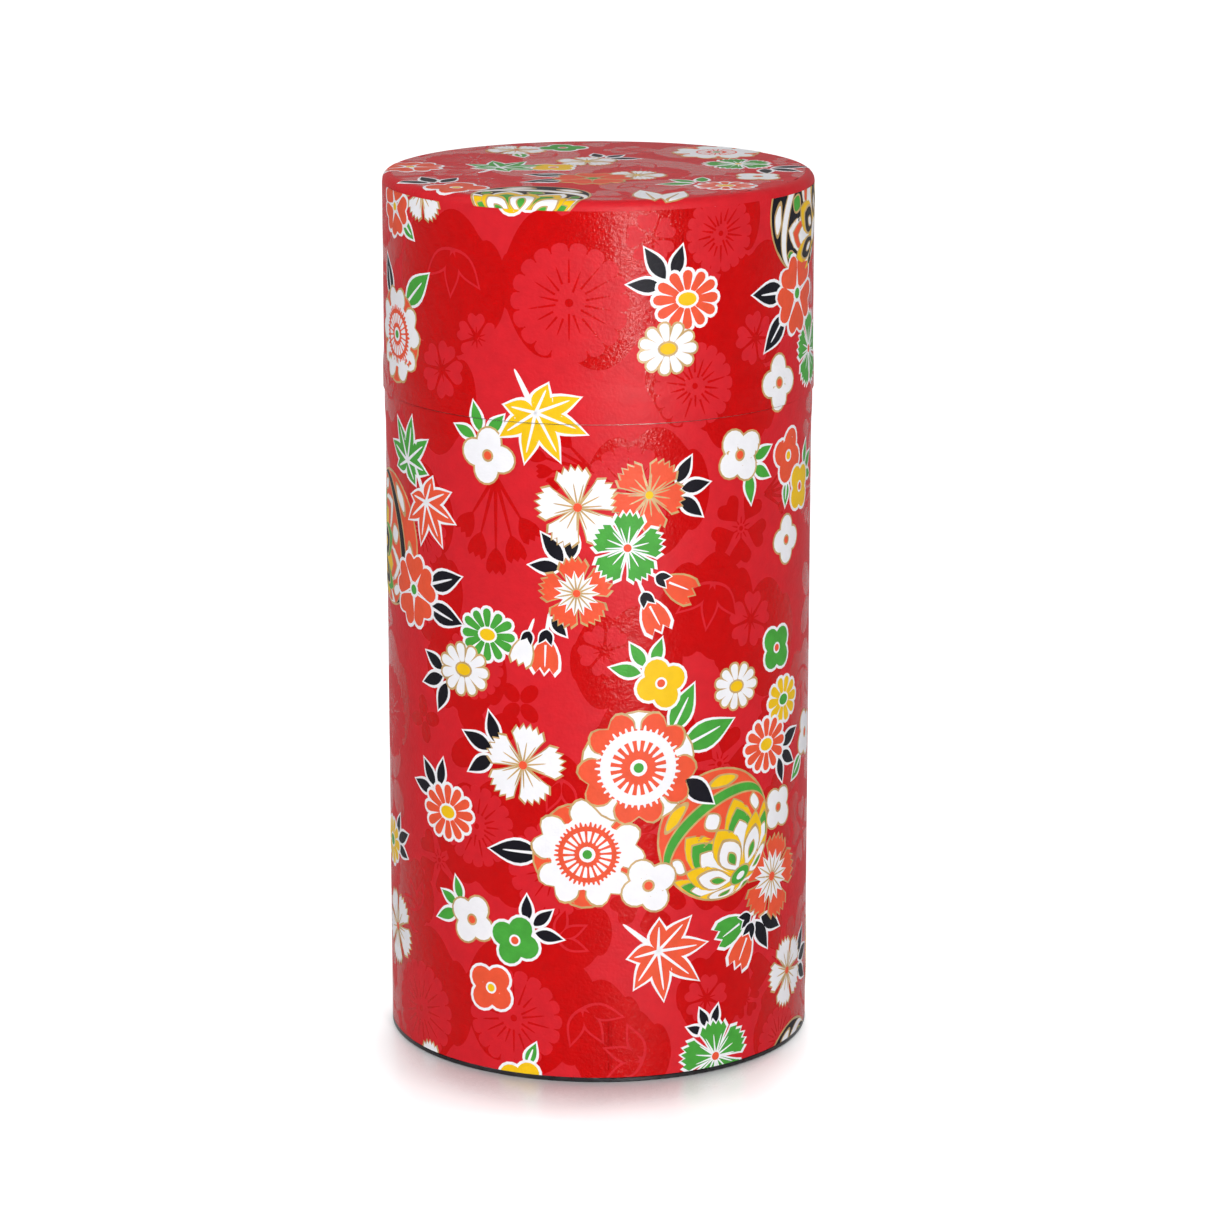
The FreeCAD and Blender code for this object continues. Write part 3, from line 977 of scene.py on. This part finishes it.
def press(name, sizes, carry):
    """A tree that presses punches at points and carries the flat print onto its paper."""
    tree = bpy.data.node_groups.new(name, "GeometryNodeTree")
    names = {"Points": "Geometry", "Punches": "Collection", "Ink": "Material"}
    names.update({size: "Float" for size in sizes})
    keys = {}
    for socket, kind in names.items():
        made = tree.interface.new_socket(socket, in_out="INPUT", socket_type="NodeSocket" + kind)
        keys[socket] = made.identifier
    tree.interface.new_socket("Print", in_out="OUTPUT", socket_type="NodeSocketGeometry")
    given = put(tree, "NodeGroupInput").outputs
    shapes = put(tree, "GeometryNodeCollectionInfo", given["Punches"], True, True).outputs["Instances"]

    def marked(attribute, kind):
        found = put(tree, "GeometryNodeInputNamedAttribute", attribute, settings={"data_type": kind})
        return found.outputs[0]

    spin = put(tree, "ShaderNodeCombineXYZ", Z=marked("turn", "FLOAT")).outputs[0]
    pressed = put(
        tree, "GeometryNodeInstanceOnPoints", given["Points"], Instance=shapes, Pick_Instance=True,
        Instance_Index=marked("punch", "INT"), Scale=marked("size", "FLOAT_VECTOR"),
        Rotation=put(tree, "FunctionNodeEulerToRotation", spin).outputs[0],
    ).outputs[0]
    flat = put(tree, "GeometryNodeRealizeInstances", pressed).outputs[0]
    spot = put(tree, "GeometryNodeInputPosition").outputs[0]
    x, y, lift = put(tree, "ShaderNodeSeparateXYZ", spot).outputs[:3]

    def parted(shapes, mark):
        return put(tree, "GeometryNodeSeparateGeometry", shapes, whole_shapes(tree, mark)).outputs

    inside, bent, place = carry(tree, given, x, y, lift)
    on_paper = parted(flat, inside)["Selection"]
    if bent:
        bent_part, flat_part = parted(on_paper, bent)
        finer = put(tree, "GeometryNodeSubdivideMesh", bent_part, BEND_CUTS).outputs[0]
        joined = put(tree, "GeometryNodeJoinGeometry", finer)
        tree.links.new(flat_part, joined.inputs[0])
        on_paper = joined.outputs[0]
    carried = put(tree, "GeometryNodeSetPosition", on_paper, Position=place).outputs[0]
    inked = put(tree, "GeometryNodeSetMaterial", carried, Material=given["Ink"]).outputs[0]
    put(tree, "NodeGroupOutput", inked)
    return tree, keys


def round_the_wall(tree, given, x, y, lift):
    """Sheet wound round the caddy: along the sheet becomes a turn, and up stays up."""
    do = functools.partial(maths, tree)
    above = do("GREATER_THAN", y, given["Low edge"])
    below = do("LESS_THAN", y, given["High edge"])
    swell = put(tree, "ShaderNodeMapRange", y, given["Swell start"], given["Swell full"], 0.0, given["Swell"],
                settings={"interpolation_type": "SMOOTHSTEP"})
    angle = do("DIVIDE", x, body_radius)
    from_front = do("ABSOLUTE", do("WRAP", angle, math.pi, -math.pi))
    lap_edge = math.pi - half_lap
    lap = ranged(tree, from_front, 0.0, WASHI, lap_edge - lap_rise, lap_edge)
    radius = do("ADD", given["Wall radius"], lift)
    for more in (swell.outputs[0], lap):
        radius = do("ADD", radius, more)
    across_wall = do("MULTIPLY", radius, do("SINE", angle))
    depth = do("MULTIPLY", do("MULTIPLY", radius, do("COSINE", angle)), -1.0)
    place = put(tree, "ShaderNodeCombineXYZ", across_wall, depth, y).outputs[0]
    return do("MULTIPLY", above, below), None, place


def over_the_cap(tree, given, x, y, lift):
    """Round laid on the cap: flat as far as the shoulder, then bent down over it or trimmed there."""
    do = functools.partial(maths, tree)
    square = do("MULTIPLY_ADD", x, x, do("MULTIPLY", y, y))
    reach = do("MAXIMUM", do("SQRT", square), 1e-6)
    past = do("DIVIDE", do("SUBTRACT", reach, given["Flat radius"]), given["Shoulder"])
    bend = do("MINIMUM", do("MAXIMUM", past, 0.0), given["Bend"])
    round_radius = do("ADD", given["Shoulder"], lift)
    flat = do("MINIMUM", reach, given["Flat radius"])
    out = do("MULTIPLY_ADD", round_radius, do("SINE", bend), flat)
    share = do("DIVIDE", out, reach)
    foot = do("SUBTRACT", given["Top"], given["Shoulder"])
    up = do("MULTIPLY_ADD", round_radius, do("COSINE", bend), foot)
    x, y = (do("MULTIPLY", way, share) for way in (x, y))
    place = put(tree, "ShaderNodeCombineXYZ", x, y, up)
    inside = do("LESS_THAN", past, given["Bend"])
    return inside, do("GREATER_THAN", bend, 0.0), place.outputs[0]


def print_ink(name, stamps, ink, tool, sizes, body, trims=()):
    """One ink on one paper, as one piece. Each trim is a height and the way that the cut faces."""
    tree, keys = tool
    mesh = bpy.data.meshes.new(name)
    mesh.from_pydata([(at[0] * MM, at[1] * MM, layer * LAYER) for _, at, _, _, _, layer in stamps], [], [])
    stretched = [(length * MM, width * MM, layer * LAYER + INK_BED) for *_, length, width, layer in stamps]
    marks = {
        "punch": ("INT", "value", [punch_names.index(punch) for punch, *_ in stamps]),
        "turn": ("FLOAT", "value", [math.radians(turn) for _, _, turn, *_ in stamps]),
        "size": ("FLOAT_VECTOR", "vector", [number for size in stretched for number in size]),
    }
    for mark, (kind, field, values) in marks.items():
        mesh.attributes.new(mark, kind, "POINT").data.foreach_set(field, values)
    points = bpy.data.objects.new(name + "_points", mesh)
    scene.collection.objects.link(points)
    pressing = points.modifiers.new("press", "NODES")
    pressing.node_group = tree
    pressing[keys["Punches"]] = punches
    pressing[keys["Ink"]] = inks[ink]
    for size, value in sizes.items():
        pressing[keys[size]] = value
    now = bpy.context.evaluated_depsgraph_get()
    film = bpy.data.meshes.new_from_object(points.evaluated_get(now))
    bpy.data.objects.remove(points)
    clean = bmesh.new()
    clean.from_mesh(film)
    bmesh.ops.dissolve_degenerate(clean, edges=clean.edges, dist=FILM_SLIVER)
    for height, way in trims:
        whole = clean.verts[:] + clean.edges[:] + clean.faces[:]
        bmesh.ops.bisect_plane(clean, geom=whole, dist=TRIM_SNAP, plane_co=(0, 0, height),
                               plane_no=(0, 0, way), clear_outer=True)
        bmesh.ops.holes_fill(clean, edges=[edge for edge in clean.edges if edge.is_boundary])
    film.name = name
    new_piece(name, finished(clean, film), inks[ink], body)


top_edges = {"Flat radius": flat_radius, "Shoulder": shoulder, "Top": disc_top, "Bend": math.pi / 2}
wall_press = press("print_round_the_wall", walls["body"], round_the_wall)
disc_press = press("print_over_the_cap", top_edges, over_the_cap)
places = [(column, row) for column in (0, 1) for row in (-1, 0, 1, 2)]
wall_repeats = [(column * REPEAT_WIDTH, REPEAT_HEIGHT * (row - column / 2)) for column, row in places]
for ink in inks:
    one_repeat = [rest for own_ink, *rest in wall_sheet if own_ink == ink]
    for body, wall in walls.items():
        low, high = wall["Low edge"], wall["High edge"]
        swell_low, swell_high = sorted((wall["Swell start"] / MM, wall["Swell full"] / MM))
        stamps = []
        for along, up in wall_repeats:
            for punch, at, turn, length, width, layer in one_repeat:
                spot = (at[0] + along, at[1] + up)
                # A field that reaches the swell has more strips, so that it follows the taper.
                if punch == "field" and swell_low - width / 2 < spot[1] < swell_high + width / 2:
                    punch = "field_on_swell"
                if low / MM - length < spot[1] < high / MM + length:
                    stamps.append((punch, spot, turn, length, width, layer))
        print_ink(f"{body}_print_{ink}", stamps, ink, wall_press, wall, body, [(low, -1), (high, 1)])
    stamps = [rest for own_ink, *rest in disc_sheet if own_ink == ink]
    edges = {**top_edges, "Bend": 0.0} if ink in ("ground", "light") else top_edges
    print_ink(f"cap_disc_print_{ink}", stamps, ink, disc_press, edges, "cap")
for punch in punch_set:
    bpy.data.objects.remove(punch)


# Studio: a white floor whose glow carries a painted shadow. The glow is dimmed where an occlusion test,
# leaned towards the back, finds the caddy close by, so the floor is darker in front of it as if a light stood
# behind it. Also two soft lights at one place in front, for the print and for the streak on the varnish, a
# broad light from the left, and a pale surround that mirrors brighter behind the caddy than in front of it.
FLOOR_SIZE = 12
FLOOR_LIFT = 0.78
FLOOR_MIRRORED = 0.4
PAINTED_SHADOW_REACH = 0.04
PAINTED_SHADOW_WAY = (0.12, 0.86, 0.5)
PAINTED_SHADOW_DARK = 0.45
PAINTED_SHADOW_CLEAR = 0.7
SURROUND_SIDE = 0.6
SURROUND_ABOVE = 0.3
MIRRORED_FRONT = 0.1
MIRRORED_BACK = 0.6
BACK_STARTS = 0.3
BACK_FULL = 0.95
FRONT = (0.15, -0.48, 0.29)
FRONT_AIM = (0, 0, 0.29)

floor_mesh = bpy.data.meshes.new("floor")
half = FLOOR_SIZE / 2
corners = [(-half, -half, 0), (half, -half, 0), (half, half, 0), (-half, half, 0)]
floor_mesh.from_pydata(corners, [], [(0, 1, 2, 3)])
floor = bpy.data.objects.new("floor", floor_mesh)
scene.collection.objects.link(floor)
floor_white, tree, shader, place = new_finish("floor_white")
shader.inputs["Base Color"].default_value = paint(192, 192, 194)
shader.inputs["Roughness"].default_value = 0.28
shader.inputs["Specular IOR Level"].default_value = 0.9
# Painted shadow: the occlusion test, leaned towards the back, cuts back the floor's glow near the caddy,
# mostly in front of it.
painted_shadow_lean = put(tree, "ShaderNodeCombineXYZ", *PAINTED_SHADOW_WAY).outputs[0]
open_floor = put(tree, "ShaderNodeAmbientOcclusion", Distance=PAINTED_SHADOW_REACH, Normal=painted_shadow_lean).outputs["AO"]
lift = ranged(tree, open_floor, 0.0, FLOOR_LIFT, PAINTED_SHADOW_DARK, PAINTED_SHADOW_CLEAR)
glow_with_painted_shadow = put(tree, "ShaderNodeEmission", Strength=lift)
lit = put(tree, "ShaderNodeAddShader", shader.outputs[0], glow_with_painted_shadow.outputs[0])
path = put(tree, "ShaderNodeLightPath").outputs
seen = maths(tree, "MAXIMUM", path["Is Camera Ray"], path["Is Transmission Ray"])
seen = maths(tree, "MULTIPLY_ADD", path["Is Glossy Ray"], FLOOR_MIRRORED, seen)
shown = put(tree, "ShaderNodeMixShader", seen, shader.outputs[0], lit.outputs[0])
tree.links.new(shown.outputs[0], tree.nodes["Material Output"].inputs["Surface"])
floor_mesh.materials.append(floor_white)

world = bpy.data.worlds.new("white_surround")
scene.world = world
world.use_nodes = True
tree = world.node_tree
way = put(tree, "ShaderNodeTexCoord").outputs["Generated"]
_, behind, above = put(tree, "ShaderNodeSeparateXYZ", way).outputs[:3]
light = ranged(tree, above, SURROUND_SIDE, SURROUND_ABOVE)
mirrored = ranged(tree, behind, MIRRORED_FRONT, MIRRORED_BACK, BACK_STARTS, BACK_FULL)
path = put(tree, "ShaderNodeLightPath").outputs
around_it = put(tree, "ShaderNodeMix", path["Is Glossy Ray"], None, light, mirrored).outputs[0]
seen = maths(tree, "MAXIMUM", path["Is Camera Ray"], path["Is Transmission Ray"])
strength = put(tree, "ShaderNodeMix", seen, None, around_it, 1.0).outputs[0]
backdrop = tree.nodes["Background"]
backdrop.inputs["Color"].default_value = paint(255, 255, 255)
tree.links.new(strength, backdrop.inputs["Strength"])


def soft_light(name, place, aim, width, tall, power, diffuse=True, glossy=True):
    lamp = bpy.data.lights.new(name, "AREA")
    lamp.shape = "RECTANGLE"
    lamp.size = width
    lamp.size_y = tall
    lamp.energy = power
    light = bpy.data.objects.new(name, lamp)
    light.location = place
    light.visible_camera = False
    light.visible_diffuse = diffuse
    light.visible_glossy = glossy
    way = [a - p for a, p in zip(aim, place)]
    light.rotation_euler = (math.atan2(math.hypot(way[0], way[1]), -way[2]), 0, math.atan2(-way[0], way[1]))
    scene.collection.objects.link(light)


soft_light("front_light", FRONT, FRONT_AIM, width=0.08, tall=0.56, power=1.8, glossy=False)
soft_light("streak_light", FRONT, FRONT_AIM, width=0.08, tall=0.56, power=6, diffuse=False)
soft_light("broad_light", (-0.9, -0.6, 0.9), (0, 0, 0.1), width=0.8, tall=0.8, power=7)


# Camera: at the photograph's viewing angle, a long lens in front of the caddy and a little above it, looking
# slightly down. Colours are shown as they are, with no film look.
CAMERA_DISTANCE = 0.787
CAMERA_HEIGHT = 0.2701
CAMERA_PITCH = 13.752
CAMERA_PAN = 0.111
CAMERA_LENS = 132.34

lens = bpy.data.cameras.new("camera")
lens.lens = CAMERA_LENS
lens.sensor_width = 36
lens.clip_start = 0.01
camera = bpy.data.objects.new("camera", lens)
camera.location = (0, -CAMERA_DISTANCE, CAMERA_HEIGHT)
camera.rotation_euler = (math.radians(90 - CAMERA_PITCH), 0, math.radians(-CAMERA_PAN))
scene.collection.objects.link(camera)
scene.camera = camera
scene.view_settings.view_transform = "Standard"
